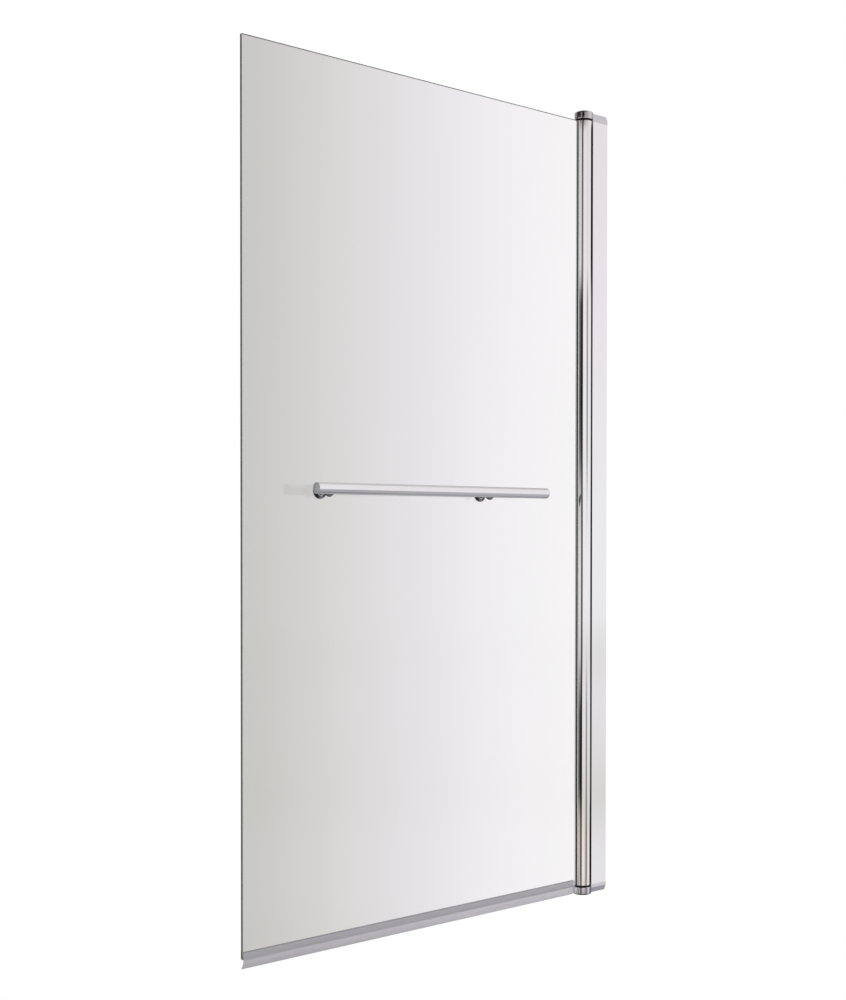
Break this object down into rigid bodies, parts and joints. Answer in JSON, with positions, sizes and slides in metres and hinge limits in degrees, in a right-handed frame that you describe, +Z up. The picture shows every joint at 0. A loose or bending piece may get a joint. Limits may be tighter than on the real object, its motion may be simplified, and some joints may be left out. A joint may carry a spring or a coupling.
{
  "type": "bath screen",
  "caption": "Hinged bath screen: one clear glass panel on a round hinge barrel beside a wall post, with a towel rail on the outer face and a drip seal below.",
  "frame": {"origin": "On the wall's surface at X = 0, in the middle plane of the glass at Y = 0 and half way up the glass at Z = 0. This is also the middle of the pattern of wall screws.", "axes": "+Z is up. The closed screen runs from the wall towards -X. -Y is the side of the towel rail, +Y is the side of the bath. +X points into the wall."},
  "size_m": [0.79, 0.069, 1.4356],
  "materials": {
    "wall_channel": "mill finish, hidden inside the post",
    "post_profile": "polished and bright anodised",
    "barrel_wipers": "soft black extrusion",
    "end_caps": "polished chrome plate on a zinc casting",
    "steel_screws": "plain stainless",
    "pivot_bushes": "moulded acetal",
    "clamp_nuts": "plain stainless",
    "clamp_screw_covers": "bright plated plastic",
    "hinge_barrel": "polished and bright anodised",
    "glass_gasket": "soft grey vinyl",
    "glass_panel": "clear toughened, ground and polished edges",
    "pivot_studs": "turned stainless",
    "thrust_washers": "moulded black nylon",
    "bottom_seal": "clear soft vinyl",
    "rail_tube": "polished chrome plate on brass tube",
    "rail_end_caps": "polished chrome plate",
    "rail_posts": "polished chrome plate on turned brass",
    "rail_saddles": "polished chrome plate on turned brass",
    "clear_pads": "clear soft vinyl",
    "clear_bushes": "clear moulded sleeve",
    "back_discs": "polished chrome plate on turned brass",
    "fixing_screws": "plain stainless, socket drive"
  },
  "bodies": {
    "wall_fixing": {"wall_channel": "wall_channel"},
    "post": {"post_profile": "post_profile", "barrel_wipers": "barrel_wipers", "end_caps": "end_caps", "end_cap_screws": "steel_screws", "pivot_bushes": "pivot_bushes", "clamp_screws": "steel_screws", "clamp_nuts": "clamp_nuts", "clamp_screw_covers": "clamp_screw_covers"},
    "panel": {"hinge_barrel": "hinge_barrel", "glass_gasket": "glass_gasket", "glass_panel": "glass_panel", "pivot_studs": "pivot_studs", "pivot_stud_screws": "steel_screws", "thrust_washers": "thrust_washers", "bottom_seal": "bottom_seal", "rail_tube": "rail_tube", "rail_end_caps": "rail_end_caps", "rail_posts": "rail_posts", "rail_saddles": "rail_saddles", "glass_bushes": "clear_bushes", "back_pads": "clear_pads", "back_discs": "back_discs", "glass_fixing_screws": "fixing_screws"}
  },
  "joints": [
    {"name": "width_adjust", "type": "slide", "parent": "wall_fixing", "child": "post", "axis": [-1, 0, 0], "range_m": [0, 0.012]},
    {"name": "panel_hinge", "type": "hinge", "parent": "post", "child": "panel", "pos_m": [-0.049, 0, 0], "axis": [0, 0, 1], "range_deg": [-90, 80]}
  ]
}
